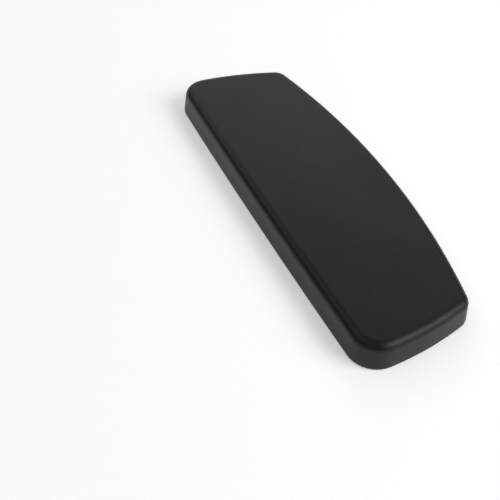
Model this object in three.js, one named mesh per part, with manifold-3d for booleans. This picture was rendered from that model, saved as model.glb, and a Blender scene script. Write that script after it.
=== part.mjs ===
// Armrest pad for an office chair, in millimetres, +Z up.
// It lies on its underside, at z = 0, with its length along X. The nearly straight side faces -Y
// and the curved side faces +Y. The origin is the middle of the underside's bounding rectangle.
//
// From the outside inwards: a moulded skin, foam, a ribbed carrier plate with four threaded
// inserts, and a base cover that six countersunk screws hold to the carrier.

import * as THREE from 'three';
import { mergeVertices } from 'three/addons/utils/BufferGeometryUtils.js';
import Module from 'manifold-3d';

const wasm = await Module();
wasm.setup();

// Driving dimensions.

// Outline: four bowed sides between four corners, which are then rounded.
const straightSideLength = 260.3;   // corner to corner, before rounding
const curvedSideLength = 237.2;     // corner to corner, before rounding
const sideSpacing = 74.3;           // between those two chords
const straightSideBow = 1.4;
const curvedSideBow = 14.8;
const endBow = 3.5;
const straightCornerRadius = 16.8;
const curvedCornerRadius = 11;
const smallestCornerRadius = 2;     // of the outlines inside the pad

const padThickness = 17.4;
const topEdgeRoundHeight = 5;
const topEdgeRoundWidth = 5.5;
const bottomEdgeRound = 1.5;
const wallDraft = 5;                // degrees that the side wall leans in towards the top
const gap = 0.3;                    // between pieces that touch
const overshoot = 1;                // of a cutter past the face that it opens
const weldDistance = 1e-5;          // between corners that count as one

// Skin
const skinWall = 1.5;
const skinTurnUnder = 8;            // width of the edge that turns under the pad

// Base cover
const coverInset = skinTurnUnder + 0.4;
const coverThickness = 2.2;
const lipHeight = 1.8;              // locating lip inside the carrier's rim
const lipWall = 1.6;

// Carrier plate
const carrierInset = 10;
const carrierTop = 9.5;
const plateThickness = 2.2;
const rimWall = 2;
const ribWall = 1.8;
const ribLines = [-80, -40, 0, 40, 80];   // x of the cross ribs
const ribStock = 300;               // length of a rib before it is trimmed to the rim

// Threaded inserts: M6, blind, on a rectangle
const insertPitchX = 80;
const insertPitchY = 36;
const insertBossDiameter = 13;
const insertBodyDiameter = 8;
const insertFlangeDiameter = 10;
const insertFlangeThickness = 1;
const insertLength = 7;
const insertBore = 5;
const insertBoreDepth = 6.2;

// Cover screws: 3.5 mm countersunk, with a cross recess
const screwDiameter = 3.5;
const screwHeadDiameter = 7;
const screwHeadSink = 0.15;
const screwLength = 7;
const screwTipLength = 1.6;
const screwRecessWidth = 0.9;
const screwRecessSpan = 4;
const screwRecessDepth = 1.2;
const screwBossDiameter = 7.6;
const endScrewX = 100;
const middleScrewY = 27;
const endScrewYs = [-26, 14];

// Steps round the curves
const straightSideSteps = 6;
const curvedSideSteps = 14;
const endSteps = 6;
const cornerSteps = 6;
const topEdgeSteps = 5;
const bottomEdgeSteps = 2;
const boreSteps = 20;

// Outline.

// The box in Y runs from the straight side's bow to the curved side's bow.
const middleY = (sideSpacing + curvedSideBow - straightSideBow) / 2;

const corners = [
  { x: -straightSideLength / 2, y: -middleY, radius: straightCornerRadius },
  { x: straightSideLength / 2, y: -middleY, radius: straightCornerRadius },
  { x: curvedSideLength / 2, y: sideSpacing - middleY, radius: curvedCornerRadius },
  { x: -curvedSideLength / 2, y: sideSpacing - middleY, radius: curvedCornerRadius },
];

// Side number i runs from corner i to the next one, counter-clockwise.
const sides = [
  bowedSide(corners[0], corners[1], straightSideBow, straightSideSteps),
  bowedSide(corners[1], corners[2], endBow, endSteps),
  bowedSide(corners[2], corners[3], curvedSideBow, curvedSideSteps),
  bowedSide(corners[3], corners[0], endBow, endSteps),
];

// An arc between two corners that stands out from their chord by the bow.
function bowedSide(from, to, bow, steps) {
  const halfChord = Math.hypot(to.x - from.x, to.y - from.y) / 2;
  const radius = (halfChord ** 2 + bow ** 2) / (2 * bow);
  const outwards = new THREE.Vector2(to.y - from.y, from.x - to.x).normalize();
  const centre = new THREE.Vector2((from.x + to.x) / 2, (from.y + to.y) / 2);
  centre.addScaledVector(outwards, bow - radius);
  return { centre, radius, steps };
}

// Centre of the arc that rounds a corner: it touches both sides from within.
function cornerCentre(before, after, corner, inset, radius) {
  const reachBefore = before.radius - inset - radius;
  const reachAfter = after.radius - inset - radius;
  const between = after.centre.clone().sub(before.centre);
  const distance = between.length();
  const along = (reachBefore ** 2 - reachAfter ** 2 + distance ** 2) / (2 * distance);
  const across = Math.sqrt(reachBefore ** 2 - along ** 2);
  between.normalize();
  const sideways = new THREE.Vector2(-between.y, between.x);
  const choices = [across, -across].map((offset) => before.centre.clone()
    .addScaledVector(between, along)
    .addScaledVector(sideways, offset));
  choices.sort((a, b) => a.distanceTo(corner) - b.distanceTo(corner));
  return choices[0];
}

function angleFrom(centre, point) {
  return Math.atan2(point.y - centre.y, point.x - centre.x);
}

// Points along a counter-clockwise arc, without its last point.
function arcPoints(centre, radius, startAngle, endAngle, steps) {
  const turn = THREE.MathUtils.euclideanModulo(endAngle - startAngle, 2 * Math.PI);
  const points = [];
  for (let step = 0; step < steps; step += 1) {
    const angle = startAngle + turn * step / steps;
    points.push(new THREE.Vector2(
      centre.x + radius * Math.cos(angle),
      centre.y + radius * Math.sin(angle),
    ));
  }
  return points;
}

// The pad's outline, drawn in by an even distance.
function padOutline(inset) {
  const arcs = corners.map((corner, index) => {
    const before = sides[(index + 3) % 4];
    const after = sides[index];
    const radius = Math.max(corner.radius - inset, smallestCornerRadius);
    return { centre: cornerCentre(before, after, corner, inset, radius), radius };
  });
  const points = sides.flatMap((side, index) => {
    const start = arcs[index];
    const end = arcs[(index + 1) % 4];
    const next = sides[(index + 1) % 4];
    const startAngle = angleFrom(side.centre, start.centre);
    const endAngle = angleFrom(side.centre, end.centre);
    const cornerEnd = angleFrom(next.centre, end.centre);
    return [
      ...arcPoints(side.centre, side.radius - inset, startAngle, endAngle, side.steps),
      ...arcPoints(end.centre, end.radius, endAngle, cornerEnd, cornerSteps),
    ];
  });
  return new THREE.Shape(points);
}

// Solids.

// A closed geometry as a solid that can be joined and cut.
function solid(geometry) {
  geometry.deleteAttribute('normal');
  geometry.deleteAttribute('uv');
  const merged = mergeVertices(geometry, weldDistance);
  return new wasm.Manifold(new wasm.Mesh({
    numProp: 3,
    vertProperties: new Float32Array(merged.attributes.position.array),
    triVerts: new Uint32Array(merged.index.array),
  }));
}

// The pad's outline as an upright slab.
function slab(inset, bottom, top) {
  const geometry = new THREE.ExtrudeGeometry(padOutline(inset), {
    depth: top - bottom,
    bevelEnabled: false,
  });
  return solid(geometry.translate(0, 0, bottom));
}

// Heights and insets of the pad's own form, drawn in all round by an even distance: from the
// rounded bottom edge, up the leaning side wall and over the rounded top edge.
function padRings(distance) {
  const lean = Math.tan(THREE.MathUtils.degToRad(wallDraft));
  const shoulder = padThickness - topEdgeRoundHeight;
  const topHeight = topEdgeRoundHeight - distance;
  const topWidth = topEdgeRoundWidth - distance;
  const bottomRound = Math.max(bottomEdgeRound - distance, 0);
  const rings = [];
  const stepsBelow = bottomRound > 0 ? bottomEdgeSteps : 0;
  for (let step = 0; step < stepsBelow; step += 1) {
    const angle = Math.PI / 2 * step / bottomEdgeSteps;
    const height = distance + bottomRound * (1 - Math.cos(angle));
    rings.push({ inset: distance + bottomRound * (1 - Math.sin(angle)) + height * lean, height });
  }
  const wallFoot = distance + bottomRound;
  rings.push({ inset: distance + wallFoot * lean, height: wallFoot });
  for (let step = 0; step <= topEdgeSteps; step += 1) {
    const angle = Math.PI / 2 * step / topEdgeSteps;
    rings.push({
      inset: distance + shoulder * lean + topWidth * (1 - Math.cos(angle)),
      height: shoulder + topHeight * Math.sin(angle),
    });
  }
  return rings;
}

// A closed body through a stack of rings, with flat ends.
function lofted(rings) {
  const outlines = rings.map((ring) => padOutline(ring.inset).getPoints());
  const count = outlines[0].length;
  const positions = outlines.flatMap(
    (outline, level) => outline.flatMap((point) => [point.x, point.y, rings[level].height]),
  );
  const triangles = [];
  for (let level = 0; level + 1 < rings.length; level += 1) {
    for (let index = 0; index < count; index += 1) {
      const next = (index + 1) % count;
      const low = level * count;
      const high = low + count;
      triangles.push(low + index, low + next, high + next);
      triangles.push(low + index, high + next, high + index);
    }
  }
  const top = (rings.length - 1) * count;
  THREE.ShapeUtils.triangulateShape(outlines[0], []).forEach(([a, b, c]) => {
    triangles.push(a, c, b);
  });
  THREE.ShapeUtils.triangulateShape(outlines.at(-1), []).forEach(([a, b, c]) => {
    triangles.push(top + a, top + b, top + c);
  });
  const geometry = new THREE.BufferGeometry();
  geometry.setAttribute('position', new THREE.Float32BufferAttribute(positions, 3));
  geometry.setIndex(triangles);
  return solid(geometry);
}

function box(sizeX, sizeY, bottom, top, x = 0, y = 0) {
  const geometry = new THREE.BoxGeometry(sizeX, sizeY, top - bottom);
  return solid(geometry.translate(x, y, (bottom + top) / 2));
}

function cylinder(diameter, bottom, top, x, y) {
  const geometry = new THREE.CylinderGeometry(diameter / 2, diameter / 2, top - bottom, boreSteps);
  geometry.rotateX(Math.PI / 2);
  return solid(geometry.translate(x, y, (bottom + top) / 2));
}

// A turned piece about an upright axis, from [radius, z] pairs that run from the axis at the
// bottom to the axis at the top.
function turned(profile) {
  const points = profile.map(([radius, z]) => new THREE.Vector2(radius, z));
  const geometry = new THREE.LatheGeometry(points, boreSteps);
  return solid(geometry.rotateX(Math.PI / 2));
}

function joined(solids) {
  return solids.reduce((whole, next) => whole.add(next));
}

function cutBy(body, cutters) {
  return cutters.reduce((rest, cutter) => rest.subtract(cutter), body);
}

function meshFrom(name, body, material) {
  const { vertProperties, triVerts } = body.getMesh();
  const geometry = new THREE.BufferGeometry();
  geometry.setAttribute('position', new THREE.BufferAttribute(vertProperties, 3));
  geometry.setIndex(new THREE.BufferAttribute(triVerts, 1));
  geometry.computeVertexNormals();
  const mesh = new THREE.Mesh(geometry, material);
  mesh.name = name;
  return mesh;
}

// Materials.

const polyurethaneSkin = new THREE.MeshStandardMaterial({
  color: 0x242424, roughness: 0.5, metalness: 0,
});
const foam = new THREE.MeshStandardMaterial({ color: 0x4a4a48, roughness: 0.95, metalness: 0 });
const nylon = new THREE.MeshStandardMaterial({ color: 0x1d1e20, roughness: 0.6, metalness: 0 });
const polypropylene = new THREE.MeshStandardMaterial({
  color: 0x1a1a1b, roughness: 0.55, metalness: 0,
});
const brass = new THREE.MeshStandardMaterial({ color: 0xb5924c, roughness: 0.35, metalness: 1 });
const zincedSteel = new THREE.MeshStandardMaterial({
  color: 0xa9adb0, roughness: 0.35, metalness: 1,
});

// Places of the inserts and screws.

const insertPlaces = [
  [-insertPitchX / 2, -insertPitchY / 2],
  [insertPitchX / 2, -insertPitchY / 2],
  [insertPitchX / 2, insertPitchY / 2],
  [-insertPitchX / 2, insertPitchY / 2],
];

const screwPlaces = [
  [-endScrewX, endScrewYs[0]],
  [0, -middleScrewY],
  [endScrewX, endScrewYs[0]],
  [endScrewX, endScrewYs[1]],
  [0, middleScrewY],
  [-endScrewX, endScrewYs[1]],
];

// Sub-parts.

// One wall all over, open underneath inside the turned-under edge.
function cushionSkin() {
  const outside = lofted(padRings(0));
  const inside = lofted(padRings(skinWall));
  const opening = slab(skinTurnUnder, -overshoot, skinWall + overshoot);
  return cutBy(outside, [inside, opening]);
}

// Fills the skin over and around the carrier.
function foamCore() {
  const filling = lofted(padRings(skinWall + gap));
  const carrierSpace = slab(carrierInset - gap, 0, carrierTop + gap);
  const coverSpace = slab(coverInset - gap, 0, coverThickness + gap);
  return cutBy(filling, [carrierSpace, coverSpace]);
}

// A shallow tray, open downwards, with ribs and bosses inside its rim.
function carrierPlate() {
  const rimBottom = coverThickness + gap;
  const plateBottom = carrierTop - plateThickness;
  const ribBottom = coverThickness + lipHeight + gap;
  const ribTop = carrierTop - plateThickness / 2;

  const tray = slab(carrierInset, rimBottom, carrierTop)
    .subtract(slab(carrierInset + rimWall, 0, plateBottom));

  const crossRibs = ribLines.map((x) => box(ribWall, ribStock, ribBottom, ribTop, x, 0));
  const longRibs = [-insertPitchY / 2, insertPitchY / 2].map(
    (y) => box(ribStock, ribWall, ribBottom, ribTop, 0, y),
  );
  const ribs = joined([...crossRibs, ...longRibs])
    .intersect(slab(carrierInset + rimWall / 2, ribBottom, ribTop));

  const insertBosses = insertPlaces.map(([x, y]) => cylinder(insertBossDiameter, 0, ribTop, x, y));
  const screwBosses = screwPlaces.map(([x, y]) => cylinder(screwBossDiameter, rimBottom, ribTop, x, y));

  const insertHoles = insertPlaces.flatMap(([x, y]) => [
    cylinder(insertBodyDiameter + 2 * gap, -overshoot, insertLength + gap, x, y),
    cylinder(insertFlangeDiameter + 2 * gap, -overshoot, insertFlangeThickness + gap, x, y),
  ]);
  const screwHoles = screwPlaces.map(
    ([x, y]) => cylinder(screwDiameter + 2 * gap, 0, screwLength + gap, x, y),
  );

  const body = joined([tray, ribs, ...insertBosses, ...screwBosses]);
  return cutBy(body, [...insertHoles, ...screwHoles]);
}

// A flanged insert, blind at its inner end, with its flange flush with the underside.
function threadedInsert() {
  return turned([
    [0, insertBoreDepth],
    [insertBore / 2, insertBoreDepth],
    [insertBore / 2, 0],
    [insertFlangeDiameter / 2, 0],
    [insertFlangeDiameter / 2, insertFlangeThickness],
    [insertBodyDiameter / 2, insertFlangeThickness],
    [insertBodyDiameter / 2, insertLength],
    [0, insertLength],
  ]);
}

// A flat plate with a locating lip, round the insert bosses and under the screw heads.
function baseCover() {
  const lipInset = carrierInset + rimWall + gap;
  const lipTop = coverThickness + lipHeight;
  const plate = slab(coverInset, 0, coverThickness);
  const lip = slab(lipInset, coverThickness / 2, lipTop)
    .subtract(slab(lipInset + lipWall, 0, lipTop + overshoot));

  const bossHoles = insertPlaces.map(
    ([x, y]) => cylinder(insertBossDiameter + 2 * gap, -overshoot, lipTop + overshoot, x, y),
  );
  const sinkRadius = screwHeadDiameter / 2 + gap;
  const shankRadius = screwDiameter / 2 + gap;
  const countersink = [
    [0, -overshoot],
    [sinkRadius, -overshoot],
    [sinkRadius, 0],
    [shankRadius, sinkRadius - shankRadius],
    [shankRadius, lipTop + overshoot],
    [0, lipTop + overshoot],
  ];
  const screwHoles = screwPlaces.map(([x, y]) => turned(countersink).translate([x, y, 0]));
  return cutBy(plate.add(lip), [...bossHoles, ...screwHoles]);
}

// A countersunk screw, head down, with a cross recess.
function coverScrew() {
  const headRadius = screwHeadDiameter / 2;
  const shankRadius = screwDiameter / 2;
  const body = turned([
    [0, screwHeadSink],
    [headRadius, screwHeadSink],
    [shankRadius, screwHeadSink + headRadius - shankRadius],
    [shankRadius, screwLength - screwTipLength],
    [shankRadius / 2, screwLength],
    [0, screwLength],
  ]);
  const recessTop = screwHeadSink + screwRecessDepth;
  const recess = joined([
    box(screwRecessSpan, screwRecessWidth, -overshoot, recessTop),
    box(screwRecessWidth, screwRecessSpan, -overshoot, recessTop),
  ]);
  return body.subtract(recess);
}

// Assembly.

const pad = new THREE.Group();
pad.add(meshFrom('cushion_skin', cushionSkin(), polyurethaneSkin));
pad.add(meshFrom('foam_core', foamCore(), foam));
pad.add(meshFrom('carrier_plate', carrierPlate(), nylon));
pad.add(meshFrom('base_cover', baseCover(), polypropylene));

insertPlaces.forEach(([x, y], index) => {
  const insert = meshFrom(`threaded_insert_${index + 1}`, threadedInsert(), brass);
  insert.position.set(x, y, 0);
  pad.add(insert);
});

screwPlaces.forEach(([x, y], index) => {
  const screw = meshFrom(`cover_screw_${index + 1}`, coverScrew(), zincedSteel);
  screw.position.set(x, y, 0);
  pad.add(screw);
});

export default pad;
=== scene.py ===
import math

import bmesh
import bpy
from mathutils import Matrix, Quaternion, Vector


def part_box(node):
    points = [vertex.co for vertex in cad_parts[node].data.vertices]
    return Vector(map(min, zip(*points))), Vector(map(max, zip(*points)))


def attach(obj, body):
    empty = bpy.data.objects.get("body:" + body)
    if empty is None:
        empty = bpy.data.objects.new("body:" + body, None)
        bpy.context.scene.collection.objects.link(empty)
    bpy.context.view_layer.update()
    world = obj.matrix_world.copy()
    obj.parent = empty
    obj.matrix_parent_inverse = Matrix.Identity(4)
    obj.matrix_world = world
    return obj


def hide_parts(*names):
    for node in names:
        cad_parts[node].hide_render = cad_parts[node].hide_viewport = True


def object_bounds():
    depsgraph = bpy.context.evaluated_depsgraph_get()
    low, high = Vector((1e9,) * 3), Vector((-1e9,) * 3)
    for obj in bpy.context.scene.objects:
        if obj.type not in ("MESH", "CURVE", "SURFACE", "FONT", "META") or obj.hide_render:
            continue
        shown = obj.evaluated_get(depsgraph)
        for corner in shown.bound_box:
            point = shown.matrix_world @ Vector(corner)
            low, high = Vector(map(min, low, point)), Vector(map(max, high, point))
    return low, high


# Chair armrest pad: a moulded skin over foam, a ribbed carrier plate with four threaded inserts,
# and a base cover held by six screws. Sizes are in mm and become metres where Blender needs them.

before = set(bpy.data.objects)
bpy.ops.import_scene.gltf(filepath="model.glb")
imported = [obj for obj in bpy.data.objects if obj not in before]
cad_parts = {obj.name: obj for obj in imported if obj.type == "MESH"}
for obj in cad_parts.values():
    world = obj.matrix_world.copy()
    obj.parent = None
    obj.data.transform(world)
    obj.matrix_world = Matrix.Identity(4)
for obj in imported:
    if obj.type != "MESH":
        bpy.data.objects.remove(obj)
cadLow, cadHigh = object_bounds()
bpy.ops.object.select_all(action="DESELECT")
mm = 0.001
print("frame loaded")

# Camera: a short telephoto that looks down along the pad, from its near end

camera = {
    "lens": 67.6,
    "sensor": 36,
    "elevation": 44.58,       # degrees above the floor
    "heading": 152.93,        # degrees round from +X, the way it looks
    "roll": 3.44,
    "distance": 538.5,
    "aimAside": (29.5, -61.9),    # from the middle of the pad, out past the straight side
    "clipStart": 10,
}

padMiddle = (cadLow + cadHigh) / 2
aim = padMiddle + Vector((*camera["aimAside"], 0)) * mm
tilt = math.radians(camera["elevation"])
heading = math.radians(camera["heading"])
lookAlong = Vector((
    math.cos(tilt) * math.cos(heading),
    math.cos(tilt) * math.sin(heading),
    -math.sin(tilt),
))
bpy.ops.object.camera_add(location=aim - lookAlong * camera["distance"] * mm)
cameraObject = bpy.context.object
cameraObject.rotation_mode = "QUATERNION"
upright = lookAlong.to_track_quat("-Z", "Y")
cameraObject.rotation_quaternion = upright @ Quaternion((0, 0, 1), math.radians(camera["roll"]))
cameraObject.data.lens = camera["lens"]
cameraObject.data.sensor_width = camera["sensor"]
cameraObject.data.clip_start = camera["clipStart"] * mm
bpy.context.scene.camera = cameraObject
print("camera placed")


# Working in edit mode

weldDistance = 0.004          # points nearer than this become one
sameHeight = 0.01             # heights, and the ends of an outline, nearer than this are one
samePlace = 0.001             # points and radii nearer than this are the same
facesAlongZ = 0.9             # a face whose normal has more than this along Z looks up or down


def makeActive(piece):
    bpy.ops.object.select_all(action="DESELECT")
    piece.select_set(True)
    bpy.context.view_layer.objects.active = piece


def startEditing(piece):
    makeActive(piece)
    bpy.ops.object.mode_set(mode="EDIT")
    bpy.ops.mesh.select_all(action="DESELECT")


def stopEditing():
    bpy.ops.object.mode_set(mode="OBJECT")


# Selects the verts, edges or faces that pass the test
def selectWhere(piece, kind, test):
    bpy.ops.mesh.select_mode(type={"verts": "VERT", "edges": "EDGE", "faces": "FACE"}[kind])
    bpy.ops.mesh.select_all(action="DESELECT")
    mesh = bmesh.from_edit_mesh(piece.data)
    chosen = [part for part in getattr(mesh, kind) if test(part)]
    for part in chosen:
        part.select_set(True)
    bmesh.update_edit_mesh(piece.data)


# Turns the one selected face to look up or down
def faceTowards(piece, upwards):
    mesh = bmesh.from_edit_mesh(piece.data)
    selected = [face for face in mesh.faces if face.select]
    if (selected[0].normal.z > 0) != upwards:
        bpy.ops.mesh.flip_normals()


def tidyNormals():
    bpy.ops.mesh.select_all(action="SELECT")
    bpy.ops.mesh.remove_doubles(threshold=weldDistance * mm)
    bpy.ops.mesh.normals_make_consistent(inside=False)


# A single vertex to draw from, in edit mode
def startPoint(name, place):
    bpy.ops.object.select_all(action="DESELECT")
    bpy.ops.mesh.primitive_plane_add(size=mm, location=place)
    piece = bpy.context.object
    piece.name = name
    piece.data.name = name
    bpy.ops.object.transform_apply(location=True, rotation=True, scale=True)
    bpy.ops.object.mode_set(mode="EDIT")
    bpy.ops.mesh.select_mode(type="VERT")
    bpy.ops.mesh.select_all(action="SELECT")
    bpy.ops.mesh.merge(type="CENTER")
    return piece


def combine(piece, other, operation):
    makeActive(piece)
    bpy.ops.object.modifier_add(type="BOOLEAN")
    modifier = piece.modifiers[-1]
    modifier.operation = operation
    modifier.solver = "MANIFOLD"
    modifier.object = other
    bpy.ops.object.modifier_apply(modifier=modifier.name)
    bpy.data.objects.remove(other)


def roundEdges(piece, width, segments, sharperThan):
    makeActive(piece)
    bpy.ops.object.modifier_add(type="BEVEL")
    modifier = piece.modifiers[-1]
    modifier.width = width * mm
    modifier.segments = segments
    modifier.limit_method = "ANGLE"
    modifier.angle_limit = math.radians(sharperThan)
    modifier.harden_normals = False
    bpy.ops.object.modifier_apply(modifier=modifier.name)


def smoothShade(piece, upTo):
    makeActive(piece)
    bpy.ops.object.shade_smooth_by_angle(angle=math.radians(upTo))


def giveMaterial(piece, material):
    piece.data.materials.clear()
    piece.data.materials.append(material)


def joinInto(piece, others):
    makeActive(piece)
    for other in others:
        other.select_set(True)
    bpy.ops.object.join()


def moveTo(piece, place):
    makeActive(piece)
    bpy.ops.transform.translate(value=place)
    bpy.ops.object.transform_apply(location=True, rotation=True, scale=True)


def copyPiece(piece, name):
    makeActive(piece)
    bpy.ops.object.duplicate(linked=False)
    copy = bpy.context.object
    copy.name = name
    copy.data.name = name
    return copy


# The outline: four bowed sides between four rounded corners

outline = {
    "straightSide": 260.3,        # corner to corner, before rounding
    "curvedSide": 237.2,
    "straightBow": 1.4,           # how far each side stands out from its chord
    "curvedBow": 14.8,
    "endBow": 3.5,
    "straightCorner": 16.8,       # corner radii
    "curvedCorner": 11,
    "smallestCorner": 2,          # a corner drawn in by an inset stays at least this round
    "longSteps": 44,              # spin steps along a long side, an end and a corner
    "endSteps": 18,
    "cornerSteps": 10,
}

straightLine = cadLow.y / mm + outline["straightBow"]
curvedLine = cadHigh.y / mm - outline["curvedBow"]
outlineCorners = [
    (Vector((-outline["straightSide"] / 2, straightLine)), outline["straightCorner"]),
    (Vector((outline["straightSide"] / 2, straightLine)), outline["straightCorner"]),
    (Vector((outline["curvedSide"] / 2, curvedLine)), outline["curvedCorner"]),
    (Vector((-outline["curvedSide"] / 2, curvedLine)), outline["curvedCorner"]),
]


# Centre and radius of the arc that stands out from its chord by the bow
def bowedSide(start, end, bow):
    halfChord = (end - start).length / 2
    radius = (halfChord ** 2 + bow ** 2) / (2 * bow)
    outwards = Vector((end.y - start.y, start.x - end.x)).normalized()
    return (start + end) / 2 + outwards * (bow - radius), radius


outlineSides = [
    bowedSide(outlineCorners[index][0], outlineCorners[(index + 1) % 4][0], bow)
    for index, bow in enumerate((
        outline["straightBow"], outline["endBow"], outline["curvedBow"], outline["endBow"],
    ))
]


def angleFrom(centre, point):
    return math.atan2(point.y - centre.y, point.x - centre.x)


# Centre and radius of the arc that rounds one corner of the outline, drawn in by the inset
def cornerArc(index, inset):
    corner, fullRadius = outlineCorners[index]
    radius = max(fullRadius - inset, outline["smallestCorner"])
    centreA, radiusA = outlineSides[(index + 3) % 4]
    centreB, radiusB = outlineSides[index]
    reachA = radiusA - inset - radius
    reachB = radiusB - inset - radius
    between = centreB - centreA
    span = between.length
    along = (reachA ** 2 - reachB ** 2 + span ** 2) / (2 * span)
    across = math.sqrt(reachA ** 2 - along ** 2)
    between.normalize()
    sideways = Vector((-between.y, between.x))
    choices = [centreA + between * along + sideways * offset for offset in (across, -across)]
    return min(choices, key=lambda centre: (centre - corner).length), radius


# The eight arcs of the outline, counter-clockwise: centre, radius, first angle, turn and steps
def outlineArcs(inset):
    arcs = []
    for index in range(4):
        centre, radius = outlineSides[index]
        nextCentre = outlineSides[(index + 1) % 4][0]
        startCorner = cornerArc(index, inset)
        endCorner = cornerArc((index + 1) % 4, inset)
        first = angleFrom(centre, startCorner[0])
        last = angleFrom(centre, endCorner[0])
        cornerLast = angleFrom(nextCentre, endCorner[0])
        steps = outline["endSteps"] if index % 2 else outline["longSteps"]
        arcs.append((centre, radius - inset, first, (last - first) % math.tau, steps))
        arcs.append((*endCorner, last, (cornerLast - last) % math.tau, outline["cornerSteps"]))
    return arcs


def pointOnArc(arc, share):
    centre, radius, first, turn, _ = arc
    angle = first + turn * share
    return centre + Vector((math.cos(angle), math.sin(angle))) * radius


# Draws the outline at a height and fills it with one face that looks up
def drawOutline(name, inset, height):
    arcs = outlineArcs(inset)
    piece = startPoint(name, (*(pointOnArc(arcs[0], 0) * mm), height * mm))
    for arc in arcs:
        centre, _, _, turn, steps = arc
        bpy.ops.mesh.spin(steps=steps, angle=-turn, center=(*(centre * mm), height * mm), axis=(0, 0, 1))
    bpy.ops.mesh.select_all(action="SELECT")
    bpy.ops.mesh.remove_doubles(threshold=sameHeight * mm)
    bpy.ops.mesh.edge_face_add()
    faceTowards(piece, True)
    return piece


# Takes the selected face through rings of (inset, height), leaving a wall behind it
def followRings(rings, upwards):
    sign = 1 if upwards else -1
    for (inset, height), (nextInset, nextHeight) in zip(rings, rings[1:]):
        bpy.ops.mesh.inset(
            thickness=max(nextInset - inset, 0) * mm,
            depth=sign * (nextHeight - height) * mm,
            use_even_offset=True,
        )


# Closes the open ring at a height with one face that looks down
def closeRing(piece, height):
    selectWhere(
        piece, "edges",
        lambda edge: edge.is_boundary and all(
            abs(vert.co.z - height * mm) < sameHeight * mm for vert in edge.verts),
    )
    bpy.ops.mesh.edge_face_add()
    bpy.ops.mesh.select_mode(type="FACE")
    faceTowards(piece, False)


# A quarter round from a wall to a flat, as (inset, height), without its first point
def quarterRound(inset, height, across, rise, steps):
    angles = [math.pi / 2 * step / steps for step in range(1, steps + 1)]
    return [
        (inset + across * (1 - math.cos(angle)), height + rise * math.sin(angle))
        for angle in angles
    ]


# The pad's form: leaning wall, rounded edges and a gently crowned top

padForm = {
    "edgeTop": 17.4,          # height of the top just inside its rounded edge
    "crown": 0.2,             # how much the middle stands above that
    "crownReach": 43,         # how far from the highest line the crown runs out
    "crownLine": 66,          # half length of the highest line
    "crownWidth": 3,          # and half its width
    "topRound": 5,            # height of the rounded top edge
    "topRoundAcross": 5.5,
    "topRoundSteps": 12,
    "topRings": (0.8, 2),     # flat rings inside the rounded edge, before the grid
    "bottomRound": 1.5,
    "bottomRoundSteps": 5,
    "wallDraft": 5,           # degrees
    "wallRings": 4,
}


# The pad's form drawn in by a distance; its foot ring is closed by one selected face
def padBody(name, distance):
    lean = math.tan(math.radians(padForm["wallDraft"]))
    foot = max(padForm["bottomRound"], distance)
    topRound = padForm["topRound"] - distance
    across = padForm["topRoundAcross"] - distance
    top = padForm["edgeTop"] - distance
    shoulder = top - topRound
    rings = [
        (distance + height * lean, height)
        for height in (
            foot + (shoulder - foot) * step / padForm["wallRings"]
            for step in range(padForm["wallRings"] + 1)
        )
    ]
    rings += quarterRound(*rings[-1], across, topRound, padForm["topRoundSteps"])
    rings += [(rings[-1][0] + more, top) for more in padForm["topRings"]]
    piece = drawOutline(name, *rings[0])
    followRings(rings, True)

    # The flat top face gives way to an even grid that starts at the middle of a corner
    bpy.ops.mesh.delete(type="ONLY_FACE")
    innerArcs = outlineArcs(rings[-1][0])
    cornerMiddle = pointOnArc(innerArcs[3], 0.5) * mm
    selectWhere(piece, "verts", lambda vert: vert.co.z > (top - sameHeight) * mm and vert.is_boundary)
    mesh = bmesh.from_edit_mesh(piece.data)
    mesh.select_flush(True)
    ring = [vert for vert in mesh.verts if vert.select]
    mesh.select_history.clear()
    mesh.select_history.add(min(ring, key=lambda vert: (vert.co.xy - cornerMiddle).length))
    bmesh.update_edit_mesh(piece.data)
    bpy.ops.mesh.fill_grid(span=outline["endSteps"] + outline["cornerSteps"], offset=0)

    # The crown is pulled up from a line along the middle of the top
    middle = (straightLine + curvedLine + outline["curvedBow"]) / 2
    selectWhere(
        piece, "verts",
        lambda vert: vert.co.z > (top - sameHeight) * mm
        and abs(vert.co.y - middle * mm) < padForm["crownWidth"] * mm
        and abs(vert.co.x) < padForm["crownLine"] * mm,
    )
    bpy.ops.transform.translate(
        value=(0, 0, padForm["crown"] * mm),
        use_proportional_edit=True,
        proportional_edit_falloff="SMOOTH",
        proportional_size=padForm["crownReach"] * mm,
    )
    closeRing(piece, foot)
    return piece, rings[0]


# Colours and nodes

# An sRGB hex colour as linear red, green and blue, with full alpha
def linearColour(hexColour):
    shades = [int(hexColour[place:place + 2], 16) / 255 for place in (1, 3, 5)]
    linear = [
        shade / 12.92 if shade <= 0.04045 else ((shade + 0.055) / 1.055) ** 2.4
        for shade in shades
    ]
    return (*linear, 1)


# Adds a node; a setting is an attribute, and an input is a value or (node, output)
def addNode(tree, kind, settings, inputs):
    node = tree.nodes.new(kind)
    for name, value in settings.items():
        setattr(node, name, value)
    for socket, value in inputs.items():
        if isinstance(value, tuple) and isinstance(value[0], bpy.types.Node):
            tree.links.new(value[0].outputs[value[1]], node.inputs[socket])
        else:
            node.inputs[socket].default_value = value
    return node


def newMaterial(name):
    material = bpy.data.materials.new(name)
    material.use_nodes = True
    tree = material.node_tree
    tree.nodes.clear()
    place = addNode(tree, "ShaderNodeTexCoord", {}, {})
    return material, tree, (place, "Object")


def finishMaterial(tree, inputs):
    shader = addNode(tree, "ShaderNodeBsdfPrincipled", {}, inputs)
    addNode(tree, "ShaderNodeOutputMaterial", {}, {"Surface": (shader, "BSDF")})


def perMetre(sizeInMm):
    return 1 / (sizeInMm * mm)


# Integral-skin polyurethane, moulded against a grained tool: a satin black with a soft broad
# shine, broken by a fine pebble grain. The real pebbles are about 0.6 mm; they are drawn a
# little coarser, so that the eye can find them.

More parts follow.
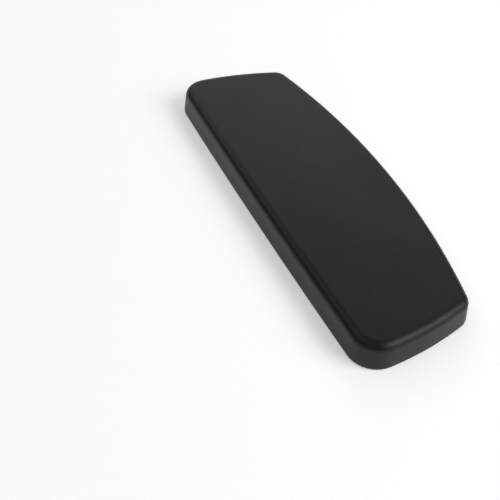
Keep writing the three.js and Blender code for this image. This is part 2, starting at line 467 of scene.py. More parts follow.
polyurethane = {
    "colour": "#151515",
    "worn": "#181818",
    "pebble": 1.1,            # width of a pebble
    "pebbleWarp": 0.6,        # how far its outline wanders
    "pebbleSoftness": 0.6,
    "pebbleDepth": 0.035,
    "pore": 0.35,
    "poreShare": 0.35,        # of the pebbles' depth
    "cloudiness": 38,         # size of the faint patches in the shine
    "cloudRange": (0.35, 0.65),       # the part of the noise between dull and shiny patches
    "roughnessLow": 0.39,
    "roughnessHigh": 0.43,
    "specular": 0.34,
}


def mouldedPolyurethane():
    material, tree, place = newMaterial("mouldedPolyurethane")
    warp = addNode(tree, "ShaderNodeTexNoise", {}, {
        "Vector": place, "Scale": perMetre(polyurethane["pebble"] * 3), "Detail": 1.0,
    })
    warpSize = polyurethane["pebbleWarp"] * mm
    warped = addNode(tree, "ShaderNodeVectorMath", {"operation": "MULTIPLY_ADD"}, {
        0: (warp, "Color"), 1: (warpSize, warpSize, warpSize), 2: place,
    })
    pebbles = addNode(tree, "ShaderNodeTexVoronoi", {"feature": "SMOOTH_F1"}, {
        "Vector": (warped, "Vector"), "Scale": perMetre(polyurethane["pebble"]),
        "Smoothness": polyurethane["pebbleSoftness"],
    })
    pores = addNode(tree, "ShaderNodeTexNoise", {}, {
        "Vector": place, "Scale": perMetre(polyurethane["pore"]), "Detail": 2.0,
    })
    grain = addNode(tree, "ShaderNodeMath", {"operation": "MULTIPLY_ADD"}, {
        0: (pores, "Fac"), 1: -polyurethane["poreShare"], 2: (pebbles, "Distance"),
    })
    bump = addNode(tree, "ShaderNodeBump", {"invert": True}, {
        "Strength": 1.0, "Distance": polyurethane["pebbleDepth"] * mm, "Height": (grain, "Value"),
    })
    clouds = addNode(tree, "ShaderNodeTexNoise", {}, {
        "Vector": place, "Scale": perMetre(polyurethane["cloudiness"]), "Detail": 4.0,
    })
    cloudLow, cloudHigh = polyurethane["cloudRange"]
    shine = addNode(tree, "ShaderNodeMapRange", {}, {
        "Value": (clouds, "Fac"), "From Min": cloudLow, "From Max": cloudHigh,
        "To Min": polyurethane["roughnessLow"], "To Max": polyurethane["roughnessHigh"],
    })
    tone = addNode(tree, "ShaderNodeMix", {"data_type": "RGBA"}, {
        "Factor": (pores, "Fac"),
        6: linearColour(polyurethane["colour"]), 7: linearColour(polyurethane["worn"]),
    })
    finishMaterial(tree, {
        "Base Color": (tone, 2), "Roughness": (shine, "Result"), "Normal": (bump, "Normal"),
        "IOR": 1.5, "Specular IOR Level": polyurethane["specular"],
    })
    return material


# The skin: the pad's outer form and an inner one, joined round the edge of the opening

skin = {
    "wall": 1.5,
    "turnUnder": 8,           # width of the edge that turns under the pad
    "flatFrom": 3,            # where that edge is flat outside, and inside
    "innerFlatFrom": 4,
    "lipRound": 0.5,          # rounding of that edge into the opening
    "lipSteps": 4,
    "smoothUpTo": 50,         # degrees between faces that shade as one
}


def cushionSkin():
    outer, foot = padBody("cushionSkin", 0)
    bottomRound = padForm["bottomRound"]
    steps = padForm["bottomRoundSteps"]
    lean = math.tan(math.radians(padForm["wallDraft"]))
    underside = [foot]
    for inset, height in quarterRound(0, bottomRound, bottomRound, -bottomRound, steps):
        underside.append((inset + height * lean, height))
    flatEnd = skin["turnUnder"] - skin["lipRound"]
    underside += [(inset, 0) for inset in (skin["flatFrom"], flatEnd)]
    for step in range(1, skin["lipSteps"] + 1):
        angle = math.pi / 2 * step / skin["lipSteps"]
        underside.append((
            flatEnd + skin["lipRound"] * math.sin(angle),
            skin["lipRound"] * (1 - math.cos(angle)),
        ))
    followRings(underside, False)
    bpy.ops.mesh.delete(type="ONLY_FACE")
    stopEditing()

    inner, innerFoot = padBody("innerSkin", skin["wall"])
    floorHeight = innerFoot[1]
    innerRings = [(inset, floorHeight) for inset in (skin["innerFlatFrom"], skin["turnUnder"])]
    followRings([innerFoot] + innerRings, False)
    bpy.ops.mesh.delete(type="ONLY_FACE")
    bpy.ops.mesh.select_all(action="SELECT")
    bpy.ops.mesh.flip_normals()
    stopEditing()

    joinInto(outer, [inner])
    bpy.ops.object.mode_set(mode="EDIT")
    selectWhere(outer, "edges", lambda edge: edge.is_boundary)
    bpy.ops.mesh.bridge_edge_loops()
    tidyNormals()
    stopEditing()
    smoothShade(outer, skin["smoothUpTo"])
    return outer


cushion = cushionSkin()
giveMaterial(cushion, mouldedPolyurethane())
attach(cushion, "root")
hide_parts("cushion_skin")
print("skin made", len(cushion.data.polygons))


# Where the frame puts a node

# How far its edge is in from the pad's, in mm
def insetOf(node):
    return (cadHigh.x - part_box(node)[1].x) / mm


# Its lowest and highest points, in mm
def heightsOf(node):
    low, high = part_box(node)
    return low.z / mm, high.z / mm


# The middle of its box, in metres
def middleOf(node):
    low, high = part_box(node)
    return (low + high) / 2


gap = 0.3                     # between pieces that touch

# Flexible polyurethane foam with its cells laid open: matt dark grey and full of broken cells
# about half a millimetre across, so it has no shine at all. They are drawn a little coarser,
# with painted shade darkening their hollows.

openCells = {
    "size": 0.8,
    "smallSize": 0.32,
    "depth": 0.18,
    "wallUpTo": 0.05,         # distance from a cell's edge where its wall ends
    "hollowFrom": 0.5,
    "wall": "#4b4b48",
    # painted shade: the darker colour laid into the cell hollows
    "hollowAndPaintedShade": "#1c1c1b",
}


def flexibleFoam():
    material, tree, place = newMaterial("flexiblePolyurethaneFoam")
    cells = addNode(tree, "ShaderNodeTexVoronoi", {"feature": "DISTANCE_TO_EDGE"}, {
        "Vector": place, "Scale": perMetre(openCells["size"]),
    })
    small = addNode(tree, "ShaderNodeTexVoronoi", {"feature": "DISTANCE_TO_EDGE"}, {
        "Vector": place, "Scale": perMetre(openCells["smallSize"]),
    })
    depth = addNode(tree, "ShaderNodeMath", {"operation": "ADD"}, {
        0: (cells, "Distance"), 1: (small, "Distance"),
    })
    hollowAndPaintedShade = addNode(tree, "ShaderNodeMapRange", {"interpolation_type": "SMOOTHSTEP"}, {
        "Value": (depth, "Value"),
        "From Min": openCells["wallUpTo"], "From Max": openCells["hollowFrom"],
    })
    # The cell hollows get the darker colour: painted shade in the recesses, over the foam's grey.
    tone = addNode(tree, "ShaderNodeMix", {"data_type": "RGBA"}, {
        "Factor": (hollowAndPaintedShade, "Result"),
        6: linearColour(openCells["wall"]), 7: linearColour(openCells["hollowAndPaintedShade"]),
    })
    bump = addNode(tree, "ShaderNodeBump", {"invert": True}, {
        "Strength": 1.0, "Distance": openCells["depth"] * mm, "Height": (hollowAndPaintedShade, "Result"),
    })
    finishMaterial(tree, {
        "Base Color": (tone, 2), "Roughness": 0.95, "Normal": (bump, "Normal"), "IOR": 1.45,
    })
    return material


# The foam: fills the skin, hollow underneath for the carrier and the cover

foam = {
    "coverThickness": 2.2,    # depth of the wider hollow, which takes the cover
    "flatFrom": 4.5,
    "cavityRound": 0.8,
    "cavitySteps": 4,
    "unevenness": 0.05,
    "unevennessSeed": 4,
    "smoothUpTo": 50,
}


def foamCore():
    distance = heightsOf("foam_core")[0]
    piece, foot = padBody("foamCore", distance)
    coverEdge = insetOf("base_cover") - gap
    coverTop = foam["coverThickness"] + gap
    carrierEdge = insetOf("carrier_plate") - gap
    carrierTop = heightsOf("carrier_plate")[1] + gap
    cavity = [
        foot, (foam["flatFrom"], foot[1]), (coverEdge, foot[1]), (coverEdge, coverTop),
        (carrierEdge, coverTop), (carrierEdge, carrierTop - foam["cavityRound"]),
    ]
    cavity += quarterRound(
        *cavity[-1], foam["cavityRound"], foam["cavityRound"], foam["cavitySteps"],
    )
    followRings(cavity, False)
    bpy.ops.mesh.select_all(action="SELECT")
    bpy.ops.transform.vertex_random(offset=foam["unevenness"] * mm, seed=foam["unevennessSeed"])
    tidyNormals()
    stopEditing()
    smoothShade(piece, foam["smoothUpTo"])
    return piece


core = foamCore()
giveMaterial(core, flexibleFoam())
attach(core, "root")
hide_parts("foam_core")
print("foam made")


# Plain bodies to build and cut with

overshoot = 1                 # how far a cutting body runs past the face that it opens


# The outline drawn in by an inset, between two heights
def slabBody(name, inset, bottom, top):
    piece = drawOutline(name, inset, bottom)
    bpy.ops.mesh.extrude_region_move(TRANSFORM_OT_translate={"value": (0, 0, (top - bottom) * mm)})
    tidyNormals()
    stopEditing()
    return piece


# A line of edges through (radius, height) points, in edit mode
def drawProfile(name, profile):
    radius, height = profile[0]
    piece = startPoint(name, (radius * mm, 0, height * mm))
    for (radius, height), (nextRadius, nextHeight) in zip(profile, profile[1:]):
        bpy.ops.mesh.extrude_vertices_move(TRANSFORM_OT_translate={
            "value": ((nextRadius - radius) * mm, 0, (nextHeight - height) * mm),
        })
    return piece


# A turned body about Z, from a profile that runs from the axis round to the axis
def turnedBody(name, profile, steps):
    piece = drawProfile(name, profile)
    bpy.ops.mesh.select_all(action="SELECT")
    bpy.ops.mesh.spin(steps=steps, angle=math.tau, center=(0, 0, 0), axis=(0, 0, 1))
    tidyNormals()
    stopEditing()
    return piece


# A block whose ends are drawn in to a share of its size, as a rib or a punched recess is
def taperedBlock(name, size, place, lowerShare, upperShare):
    bpy.ops.object.select_all(action="DESELECT")
    bpy.ops.mesh.primitive_cube_add(size=1, location=Vector(place) * mm)
    piece = bpy.context.object
    piece.name = name
    piece.dimensions = Vector(size) * mm
    bpy.ops.object.transform_apply(location=True, rotation=True, scale=True)
    startEditing(piece)
    for direction, share in ((-1, lowerShare), (1, upperShare)):
        selectWhere(piece, "faces", lambda face: face.normal.z * direction > facesAlongZ)
        bpy.ops.transform.resize(value=(*share, 1), center_override=Vector(place) * mm)
    stopEditing()
    return piece


# Puts copies of a body at several places and removes the first one
def copiesAt(body, places):
    copies = []
    for x, y in places:
        copy = copyPiece(body, body.name + "Copy")
        moveTo(copy, (x * mm, y * mm, 0))
        copies.append(copy)
    bpy.data.objects.remove(body)
    return copies


def combineAll(piece, others, operation):
    for other in others:
        combine(piece, other, operation)


insertNodes = [f"threaded_insert_{number}" for number in range(1, 5)]
screwNodes = [f"cover_screw_{number}" for number in range(1, 7)]
insertPlaces = [tuple(middleOf(node).xy / mm) for node in insertNodes]
screwPlaces = [tuple(middleOf(node).xy / mm) for node in screwNodes]

# Glass-filled nylon, injection moulded: near black, with short fibres lying just under the
# surface that leave it matt and very slightly streaked along the flow.

glassNylon = {
    "colour": "#191a1c",
    "fibre": "#25272a",
    "fibreWidth": 0.25,
    "fibreLength": 3.5,
    "fibreRise": 0.02,
    "riseShare": 0.6,
    "roughnessLow": 0.48,
    "roughnessHigh": 0.68,
}


def glassFilledNylon():
    material, tree, place = newMaterial("glassFilledNylon")
    along = perMetre(glassNylon["fibreLength"])
    across = perMetre(glassNylon["fibreWidth"])
    stretched = addNode(tree, "ShaderNodeMapping", {}, {
        "Vector": place, "Scale": (along, across, across),
    })
    fibres = addNode(tree, "ShaderNodeTexNoise", {}, {
        "Vector": (stretched, "Vector"), "Scale": 1.0, "Detail": 2.0,
    })
    tone = addNode(tree, "ShaderNodeMix", {"data_type": "RGBA"}, {
        "Factor": (fibres, "Fac"),
        6: linearColour(glassNylon["colour"]), 7: linearColour(glassNylon["fibre"]),
    })
    dull = addNode(tree, "ShaderNodeMapRange", {}, {
        "Value": (fibres, "Fac"),
        "To Min": glassNylon["roughnessLow"], "To Max": glassNylon["roughnessHigh"],
    })
    bump = addNode(tree, "ShaderNodeBump", {}, {
        "Strength": glassNylon["riseShare"], "Distance": glassNylon["fibreRise"] * mm,
        "Height": (fibres, "Fac"),
    })
    finishMaterial(tree, {
        "Base Color": (tone, 2), "Roughness": (dull, "Result"), "Normal": (bump, "Normal"),
        "IOR": 1.53,
    })
    return material


# The carrier plate: a shallow tray with ribs, and bosses for the inserts and the screws

carrier = {
    "rimWall": 2,
    "plate": 2.2,
    "edgeRound": 0.8,
    "edgeSteps": 4,
    "footChamfer": 0.3,
    "innerRound": 0.6,
    "innerSteps": 3,
    "rib": 1.8,
    "ribTipShare": 0.75,      # of a rib's width, at its tip
    "ribBottom": 4.3,
    "crossRibs": (-80, -40, 0, 40, 80),
    "insertBoss": 13,         # diameters, here and below
    "screwBoss": 7.6,
    "bossChamfer": 0.4,
    "bossSteps": 48,
    "insertBody": 8,
    "insertFlange": 10,
    "flange": 1,
    "insertLength": 7,
    "mouthChamfer": 0.2,
    "screw": 3.5,
    "screwLength": 7,
    "screwHoleSteps": 32,
    "smoothUpTo": 35,
}


def carrierPlate():
    inset = insetOf("carrier_plate")
    top = heightsOf("carrier_plate")[1]
    foot = foam["coverThickness"] + gap
    chamfer = carrier["footChamfer"]
    inner = inset + carrier["rimWall"]
    ceiling = top - carrier["plate"]
    ribTop = top - carrier["plate"] / 2

    outside = [(inset, foot + chamfer), (inset, top - carrier["edgeRound"])]
    outside += quarterRound(
        *outside[-1], carrier["edgeRound"], carrier["edgeRound"], carrier["edgeSteps"],
    )
    piece = drawOutline("carrierPlate", *outside[0])
    followRings(outside, True)
    closeRing(piece, outside[0][1])
    inside = [
        outside[0], (inset + chamfer, foot), (inner - chamfer, foot), (inner, foot + chamfer),
        (inner, ceiling - carrier["innerRound"]),
    ]
    inside += quarterRound(
        *inside[-1], carrier["innerRound"], carrier["innerRound"], carrier["innerSteps"],
    )
    followRings(inside, False)
    tidyNormals()
    stopEditing()

    # Ribs as long as the pad, cut back to the middle of the rim
    height = ribTop - carrier["ribBottom"]
    level = (ribTop + carrier["ribBottom"]) / 2
    length = (cadHigh.x - cadLow.x) / mm
    ribs = [
        taperedBlock("rib", (carrier["rib"], length, height), (x, 0, level),
                     (carrier["ribTipShare"], 1), (1, 1))
        for x in carrier["crossRibs"]
    ]
    ribs += [
        taperedBlock("rib", (length, carrier["rib"], height), (0, y, level),
                     (1, carrier["ribTipShare"]), (1, 1))
        for y in sorted({y for _, y in insertPlaces})
    ]
    grid = ribs[0]
    combineAll(grid, ribs[1:], "UNION")
    limit = slabBody("ribLimit", inset + carrier["rimWall"] / 2, 0, top)
    combine(grid, limit, "INTERSECT")
    combine(piece, grid, "UNION")

    def boss(radius, bottom):
        slope = carrier["bossChamfer"]
        return turnedBody("boss", [
            (0, bottom),
            (radius - slope, bottom),
            (radius, bottom + slope),
            (radius, ribTop),
            (0, ribTop),
        ], carrier["bossSteps"])

    combineAll(piece, copiesAt(boss(carrier["insertBoss"] / 2, 0), insertPlaces), "UNION")
    combineAll(piece, copiesAt(boss(carrier["screwBoss"] / 2, foot), screwPlaces), "UNION")

    flangeRadius = carrier["insertFlange"] / 2 + gap
    bodyRadius = carrier["insertBody"] / 2 + gap
    flangeTop = carrier["flange"] + gap
    insertTop = carrier["insertLength"] + gap
    mouth = carrier["mouthChamfer"]
    insertHole = turnedBody("insertHole", [
        (0, -overshoot),
        (flangeRadius + mouth + overshoot, -overshoot),
        (flangeRadius, mouth),
        (flangeRadius, flangeTop),
        (bodyRadius, flangeTop),
        (bodyRadius, insertTop),
        (0, insertTop),
    ], carrier["bossSteps"])
    combineAll(piece, copiesAt(insertHole, insertPlaces), "DIFFERENCE")

    screwRadius = carrier["screw"] / 2 + gap
    screwTop = carrier["screwLength"] + gap
    screwHole = turnedBody("screwHole", [
        (0, 0), (screwRadius, 0), (screwRadius, screwTop), (0, screwTop),
    ], carrier["screwHoleSteps"])
    combineAll(piece, copiesAt(screwHole, screwPlaces), "DIFFERENCE")
    smoothShade(piece, carrier["smoothUpTo"])
    return piece


plate = carrierPlate()
giveMaterial(plate, glassFilledNylon())
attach(plate, "root")
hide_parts("carrier_plate")
print("carrier made", len(plate.data.polygons))

# Polypropylene moulded in a spark-eroded tool: black, with an even, slightly sparkling
# roughness like very fine sandpaper, its peaks painted lighter and its pits darker as painted
# light and shade. The real pits are about 0.15 mm and are drawn coarser.

sparkTexture = {
    "colour": "#151515",
    "paintedPeakLight": "#222222",
    "pit": 0.45,
    "depth": 0.05,
    "flow": 30,               # size of the broad patches in its shine
    "roughnessLow": 0.5,
    "roughnessHigh": 0.62,
}


def sparkTexturedPolypropylene():
    material, tree, place = newMaterial("sparkTexturedPolypropylene")
    pits = addNode(tree, "ShaderNodeTexNoise", {}, {
        "Vector": place, "Scale": perMetre(sparkTexture["pit"]), "Detail": 3.0, "Roughness": 0.6,
    })
    # Peaks painted lighter and pits darker, following the bump's height: painted light and shade.
    tone = addNode(tree, "ShaderNodeMix", {"data_type": "RGBA"}, {
        "Factor": (pits, "Fac"),
        6: linearColour(sparkTexture["colour"]), 7: linearColour(sparkTexture["paintedPeakLight"]),
    })
    bump = addNode(tree, "ShaderNodeBump", {}, {
        "Strength": 1.0, "Distance": sparkTexture["depth"] * mm, "Height": (pits, "Fac"),
    })
    flow = addNode(tree, "ShaderNodeTexNoise", {}, {
        "Vector": place, "Scale": perMetre(sparkTexture["flow"]),
    })
    dull = addNode(tree, "ShaderNodeMapRange", {}, {
        "Value": (flow, "Fac"),
        "To Min": sparkTexture["roughnessLow"], "To Max": sparkTexture["roughnessHigh"],
    })
    finishMaterial(tree, {
        "Base Color": (tone, 2), "Roughness": (dull, "Result"), "Normal": (bump, "Normal"),
        "IOR": 1.49,
    })
    return material


# The base cover: a flat plate with a locating lip, holes for the bosses and countersinks

cover = {
    "thickness": foam["coverThickness"],
    "outerRound": 0.6,
    "outerSteps": 4,
    "innerChamfer": 0.3,
    "lipHeight": 1.8,
    "lipWall": 1.6,
    "lipRound": 0.3,
    "lipSteps": 2,
    "lipEdgeAngle": 60,       # degrees; only sharper edges are rounded
    "holeChamfer": 0.3,
    "holeSteps": 64,
    "screwHead": 7,
    "countersinkSteps": 48,
    "smoothUpTo": 35,
}


def baseCover():
    inset = insetOf("base_cover")
    thickness = cover["thickness"]
    rounding = cover["outerRound"]
    chamfer = cover["innerChamfer"]
    sides = [
        (inset, rounding), (inset, thickness - chamfer), (inset + chamfer, thickness),
    ]
    piece = drawOutline("baseCover", *sides[0])
    followRings(sides, True)
    closeRing(piece, rounding)
    lowerEdge = quarterRound(inset, rounding, rounding, -rounding, cover["outerSteps"])
    followRings([sides[0]] + lowerEdge, False)
    tidyNormals()
    stopEditing()

    lipInset = insetOf("carrier_plate") + carrier["rimWall"] + gap
    lipTop = thickness + cover["lipHeight"]
    lip = slabBody("lip", lipInset, thickness / 2, lipTop)
    roundEdges(lip, cover["lipRound"], cover["lipSteps"], cover["lipEdgeAngle"])
    cutTop = lipTop + overshoot
    combine(lip, slabBody("lipInside", lipInset + cover["lipWall"], 0, cutTop), "DIFFERENCE")
    combine(piece, lip, "UNION")

    holeRadius = carrier["insertBoss"] / 2 + gap
    edge = cover["holeChamfer"]
    bossHole = turnedBody("bossHole", [
        (0, -overshoot),
        (holeRadius + edge + overshoot, -overshoot),
        (holeRadius, edge),
        (holeRadius, cutTop),
        (0, cutTop),
    ], cover["holeSteps"])
    combineAll(piece, copiesAt(bossHole, insertPlaces), "DIFFERENCE")

    sinkRadius = cover["screwHead"] / 2 + gap
    shankRadius = carrier["screw"] / 2 + gap
    countersink = turnedBody("countersink", [
        (0, -overshoot),
        (sinkRadius + overshoot, -overshoot),
        (shankRadius, sinkRadius - shankRadius),
        (shankRadius, cutTop),
        (0, cutTop),
    ], cover["countersinkSteps"])
    combineAll(piece, copiesAt(countersink, screwPlaces), "DIFFERENCE")
    smoothShade(piece, cover["smoothUpTo"])
    return piece


base = baseCover()
giveMaterial(base, sparkTexturedPolypropylene())
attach(base, "root")
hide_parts("base_cover")
print("cover made", len(base.data.polygons))


# The section of a thread's ridge, as (radius, height) points: its foot is sunk into the wall at
# the root, and each later point stands a share of the pitch above the first
def ridgeSection(thread, root, crest):
    start = thread["threadFrom"]
    crestFrom, crestTo, footTo = (start + thread["pitch"] * share for share in thread["ridgeShares"])
    return [(root, start), (crest, crestFrom), (crest, crestTo), (root, footTo)]


# The section as a closed line of edges
def drawSection(name, section):
    piece = drawProfile(name, section)
    ends = [Vector((point[0] * mm, 0, point[1] * mm)) for point in (section[0], section[-1])]
    selectWhere(
        piece, "verts",
        lambda vert: min((vert.co - end).length for end in ends) < samePlace * mm,
    )
    bpy.ops.mesh.edge_face_add()
    stopEditing()
    return piece


# A ridge wound about Z from its section, with both ends drawn to a point
def threadRidge(thread, root, crest):
    section = ridgeSection(thread, root, crest)
    pitch = thread["pitch"]
    turns = thread["threadTurns"]
    piece = drawSection("thread", section)
    makeActive(piece)
    bpy.ops.object.modifier_add(type="SCREW")
    modifier = piece.modifiers[-1]
    modifier.axis = "Z"
    modifier.angle = math.tau
    modifier.screw_offset = pitch * mm
    modifier.iterations = turns
    modifier.steps = thread["threadSteps"]
    modifier.render_steps = thread["threadSteps"]
    bpy.ops.object.modifier_apply(modifier=modifier.name)
    startEditing(piece)
    middle = (thread["threadFrom"] + pitch * turns / 2) * mm
    for above in (False, True):
        selectWhere(
            piece, "verts",
            lambda vert: vert.is_boundary and (vert.co.z > middle) == above,
        )
        bpy.ops.mesh.merge(type="CENTER")
    tidyNormals()
    stopEditing()
    return piece


# Free-cutting brass, turned on a lathe: warm yellow metal with faint turning rings and a light
# tarnish in patches. The real rings are about 0.2 mm apart and are drawn coarser.

turnedBrass = {
    "bright": "#d8b565",
    "tarnished": "#a98544",
    "ring": 2.2,
    "waveRepeat": math.tau / 20,      # length of one wave at a scale of 1
    "ringDepth": 0.01,
    "ringShare": 0.5,
    "patch": 4,
    "roughnessLow": 0.18,
    "roughnessHigh": 0.42,
}


def freeCuttingBrass():
    material, tree, place = newMaterial("freeCuttingBrass")
    rings = addNode(tree, "ShaderNodeTexWave", {"bands_direction": "Z"}, {
        "Vector": place, "Scale": perMetre(turnedBrass["ring"]) * turnedBrass["waveRepeat"],
        "Distortion": 0.4,
    })
    patches = addNode(tree, "ShaderNodeTexNoise", {}, {
        "Vector": place, "Scale": perMetre(turnedBrass["patch"]), "Detail": 4.0,
    })
    tone = addNode(tree, "ShaderNodeMix", {"data_type": "RGBA"}, {
        "Factor": (patches, "Fac"),
        6: linearColour(turnedBrass["bright"]), 7: linearColour(turnedBrass["tarnished"]),
    })
    polish = addNode(tree, "ShaderNodeMapRange", {}, {
        "Value": (patches, "Fac"),
        "To Min": turnedBrass["roughnessLow"], "To Max": turnedBrass["roughnessHigh"],
    })
    bump = addNode(tree, "ShaderNodeBump", {}, {
        "Strength": turnedBrass["ringShare"], "Distance": turnedBrass["ringDepth"] * mm,
        "Height": (rings, "Fac"),
    })
    finishMaterial(tree, {
        "Base Color": (tone, 2), "Metallic": 1.0, "Roughness": (polish, "Result"),
        "Normal": (bump, "Normal"),
    })
    return material


# The threaded inserts: flanged, knurled, blind, with an M6 thread inside

insert = {
    "flangeRadius": carrier["insertFlange"] / 2,
    "flange": carrier["flange"],
    "bodyRadius": carrier["insertBody"] / 2,
    "length": carrier["insertLength"],
    "neckRadius": 3.76,       # above and below the knurl
    "boreRadius": 3,          # at the root of the thread
    "boreDepth": 6.2,
    "boreEndRadius": 2.4,
    "boreEndSlope": 0.4,
    "mouthChamfer": 0.2,
    "edge": 0.15,
    "steps": 72,
    "knurlDepth": 0.96,       # share of the body's radius at the bottom of the knurl
    "knurlFrom": 1.9,
    "knurlTo": 6.1,
    "knurlSlope": 0.3,
    "crestRadius": 2.5,
    "ridgeSunk": 0.08,
    "pitch": 1,
    "threadFrom": 0.25,
    "threadTurns": 5,
    "threadSteps": 36,
    "ridgeShares": (0.375, 0.5, 0.875),
    "smoothUpTo": 30,
}


def threadedInsert():
    flangeRadius, flange = insert["flangeRadius"], insert["flange"]
    bodyRadius, neckRadius = insert["bodyRadius"], insert["neckRadius"]
    boreRadius, boreDepth = insert["boreRadius"], insert["boreDepth"]
    edge = insert["edge"]
    length = insert["length"]
    body = turnedBody("threadedInsert", [
        (0, boreDepth),
        (insert["boreEndRadius"], boreDepth),
        (boreRadius, boreDepth - insert["boreEndSlope"]),
        (boreRadius, insert["mouthChamfer"]),
        (boreRadius + insert["mouthChamfer"], 0),
        (flangeRadius - edge, 0),
        (flangeRadius, edge),
        (flangeRadius, flange - edge),
        (flangeRadius - edge, flange),
        (neckRadius, flange),
        (neckRadius, insert["knurlFrom"] - insert["knurlSlope"]),
        (bodyRadius, insert["knurlFrom"]),
        (bodyRadius, insert["knurlTo"]),
        (neckRadius, length - edge),
        (neckRadius - edge, length),
        (0, length),
    ], insert["steps"])

    # Every second line of the body is drawn in, which leaves a straight knurl
    startEditing(body)
    turnStep = math.tau / insert["steps"]
    selectWhere(
        body, "verts",
        lambda vert: abs(vert.co.xy.length - bodyRadius * mm) < samePlace * mm
        and round(math.atan2(vert.co.y, vert.co.x) / turnStep) % 2 == 0,
    )
    knurl = insert["knurlDepth"]
    bpy.ops.transform.resize(value=(knurl, knurl, 1), center_override=(0, 0, 0))
    stopEditing()

    thread = threadRidge(insert, boreRadius + insert["ridgeSunk"], insert["crestRadius"])
    joinInto(body, [thread])
    smoothShade(body, insert["smoothUpTo"])
    return body


# One copy of the body at each node's middle
def placeCopies(body, nodes, name, material):
    giveMaterial(body, material)
    for number, node in enumerate(nodes, 1):
        piece = copyPiece(body, f"{name}{number}")
        place = middleOf(node)
        moveTo(piece, (place.x, place.y, 0))
        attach(piece, "root")
        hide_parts(node)
    bpy.data.objects.remove(body)


placeCopies(
    threadedInsert(), insertNodes, "threadedInsertPiece", freeCuttingBrass(),
)
print("inserts made")

# Zinc-plated steel: a bright bluish-grey metal whose plating leaves a soft, slightly mottled
# shine.

zincPlate = {
    "bright": "#cdd1d4",
    "mottle": "#a3a8ad",
    "grain": 1.2,
    "grainDepth": 0.01,
    "grainShare": 0.4,
    "roughnessLow": 0.22,
    "roughnessHigh": 0.42,
}


def zincPlatedSteel():
    material, tree, place = newMaterial("zincPlatedSteel")
    mottle = addNode(tree, "ShaderNodeTexNoise", {}, {
        "Vector": place, "Scale": perMetre(zincPlate["grain"]), "Detail": 4.0,
    })
    tone = addNode(tree, "ShaderNodeMix", {"data_type": "RGBA"}, {
        "Factor": (mottle, "Fac"),
        6: linearColour(zincPlate["bright"]), 7: linearColour(zincPlate["mottle"]),
    })
    polish = addNode(tree, "ShaderNodeMapRange", {}, {
        "Value": (mottle, "Fac"),
        "To Min": zincPlate["roughnessLow"], "To Max": zincPlate["roughnessHigh"],
    })
    bump = addNode(tree, "ShaderNodeBump", {}, {
        "Strength": zincPlate["grainShare"], "Distance": zincPlate["grainDepth"] * mm,
        "Height": (mottle, "Fac"),
    })
    finishMaterial(tree, {
        "Base Color": (tone, 2), "Metallic": 1.0, "Roughness": (polish, "Result"),
        "Normal": (bump, "Normal"),
    })
    return material


# The cover screws: countersunk heads with a cross recess, and a coarse thread for plastic

screw = {
    "headRadius": cover["screwHead"] / 2,
    "rim": 0.15,
    "coreRadius": 1.25,
    "length": carrier["screwLength"],
    "neckSlope": 0.25,        # between the head's cone and the core
    "neckRise": 0.2,
    "tip": 1.6,
    "tipShare": 0.35,         # of the core's radius, where the tip turns blunt
    "pointShare": 0.2,
    "pointHeight": 0.2,
    "steps": 48,
    "recessSpan": 4,
    "recessWidth": 0.9,
    "recessDepth": 1.3,
    "recessTaper": (0.45, 0.6),       # shares of its span and width, at the bottom
    "crestRadius": carrier["screw"] / 2,
    "ridgeSunk": 0.08,
    "pitch": 1.3,
    "threadFrom": 2.35,
    "threadTurns": 2,
    "threadSteps": 36,
    "ridgeShares": (0.22, 0.28, 0.5),
    "smoothUpTo": 30,
}


def coverScrew():
    sink = heightsOf(screwNodes[0])[0]
    head, core, rim = screw["headRadius"], screw["coreRadius"], screw["rim"]
    slope, length = screw["neckSlope"], screw["length"]
    neck = sink + head - core + screw["neckRise"]
    body = turnedBody("coverScrew", [
        (0, sink),
        (head - rim, sink),
        (head, sink + rim),
        (head, sink + 2 * rim),
        (core + slope, neck - slope),
        (core, neck),
        (core, length - screw["tip"]),
        (core * screw["tipShare"], length - screw["pointHeight"]),
        (core * screw["pointShare"], length),
        (0, length),
    ], screw["steps"])

    # Two tapered slots, which reach below the head, cut the cross recess
    span, width, depth = screw["recessSpan"], screw["recessWidth"], screw["recessDepth"]
    spanTaper, widthTaper = screw["recessTaper"]
    place = (0, 0, sink + (depth - overshoot) / 2)
    slots = [
        taperedBlock("recess", (span, width, depth + overshoot), place, (1, 1), (spanTaper, widthTaper)),
        taperedBlock("recess", (width, span, depth + overshoot), place, (1, 1), (widthTaper, spanTaper)),
    ]
    combineAll(body, slots, "DIFFERENCE")

    thread = threadRidge(screw, core - screw["ridgeSunk"], screw["crestRadius"])
    joinInto(body, [thread])
    smoothShade(body, screw["smoothUpTo"])
    return body


placeCopies(
    coverScrew(), screwNodes, "coverScrewPiece", zincPlatedSteel(),
)
print("screws made")

# Floor and light

# Matt white acrylic, faintly lit from below as a light table is: a disc that fades out into
# the pale surroundings

floor = {
    "radius": 1500,
    "sides": 96,
    "fadesFrom": 850,
    "fadesTo": 1450,
    "colour": "#fcfcfc",
    "glowColour": "#ffffff",
    "glow": 0.4,
}


def whiteFloor():
    bpy.ops.object.select_all(action="DESELECT")
    bpy.ops.mesh.primitive_circle_add(
        vertices=floor["sides"], radius=floor["radius"] * mm, fill_type="NGON",
        location=(0, 0, cadLow.z),
    )
    piece = bpy.context.object
    piece.name = "floor"
    material, tree, place = newMaterial("mattWhiteAcrylic")
    reach = addNode(tree, "ShaderNodeVectorMath", {"operation": "LENGTH"}, {0: place})
    fade = addNode(tree, "ShaderNodeMapRange", {"interpolation_type": "SMOOTHSTEP"}, {
        "Value": (reach, "Value"), "To Min": 1.0, "To Max": 0.0,
        "From Min": floor["fadesFrom"] * mm, "From Max": floor["fadesTo"] * mm,
    })
    finishMaterial(tree, {
        "Base Color": linearColour(floor["colour"]), "Roughness": 0.9, "Alpha": (fade, "Result"),
        "Emission Color": linearColour(floor["glowColour"]), "Emission Strength": floor["glow"],
    })
    piece.data.materials.append(material)


whiteFloor()

# Soft boxes round the pad: direction in degrees from +X and above the floor, power in W

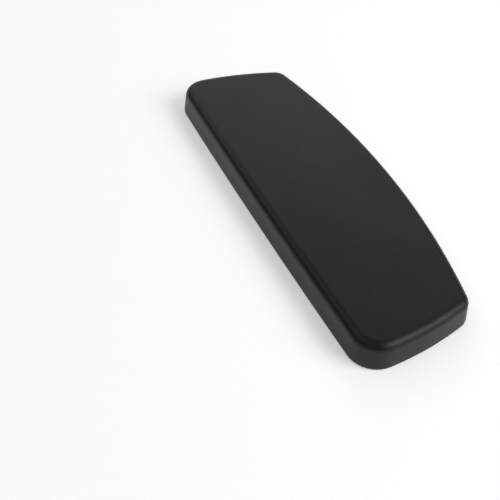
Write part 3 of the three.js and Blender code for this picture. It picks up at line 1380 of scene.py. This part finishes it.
lights = {
    "distance": 2800,
    "keySize": 1900,
    "key": [
        (45, 38, 45),
        (240, 62, 8),
        (75, 62, 4.7),
        (315, 38, 4),
        (270, 38, 1),
    ],
    "rearSize": 1200,
    "rear": [
        (160, 22, 4.7),
        (200, 34, 4),
        (140, 34, 5),
        (180, 34, 3),
        (120, 46, 2.4),
        (180, 46, 0.4),
    ],
}


def softLight(name, azimuth, elevation, distance, size, power):
    around = math.radians(azimuth)
    up = math.radians(elevation)
    towards = Vector((
        math.cos(up) * math.cos(around), math.cos(up) * math.sin(around), math.sin(up),
    ))
    bpy.ops.object.light_add(type="AREA", location=padMiddle + towards * distance * mm)
    light = bpy.context.object
    light.name = name
    light.rotation_mode = "QUATERNION"
    light.rotation_quaternion = (-towards).to_track_quat("-Z", "Y")
    light.data.shape = "SQUARE"
    light.data.size = size * mm
    light.data.energy = power
    light.visible_camera = False


for group in ("key", "rear"):
    for azimuth, elevation, power in lights[group]:
        softLight(
            f"{group}{azimuth}at{elevation}", azimuth, elevation,
            lights["distance"], lights[group + "Size"], power,
        )

# Pale surroundings, white at and below the horizon and dark overhead; heights are those of a
# direction one unit long

horizon = {"colour": "#ffffff", "strength": 0.9, "above": 0.02, "fadesBy": 0.14}

world = bpy.data.worlds.new("studio")
bpy.context.scene.world = world
world.use_nodes = True
worldTree = world.node_tree
worldTree.nodes.clear()
skyPlace = addNode(worldTree, "ShaderNodeTexCoord", {}, {})
skyHeight = addNode(worldTree, "ShaderNodeSeparateXYZ", {}, {"Vector": (skyPlace, "Generated")})
skyShade = addNode(worldTree, "ShaderNodeMapRange", {"interpolation_type": "SMOOTHSTEP"}, {
    "Value": (skyHeight, "Z"), "From Min": horizon["above"], "From Max": horizon["fadesBy"],
    "To Min": horizon["strength"], "To Max": 0.0,
})
sky = addNode(worldTree, "ShaderNodeBackground", {}, {
    "Color": linearColour(horizon["colour"]), "Strength": (skyShade, "Result"),
})
addNode(worldTree, "ShaderNodeOutputWorld", {}, {"Surface": (sky, "Background")})
bpy.context.scene.view_settings.view_transform = "Standard"
print("floor and light made")
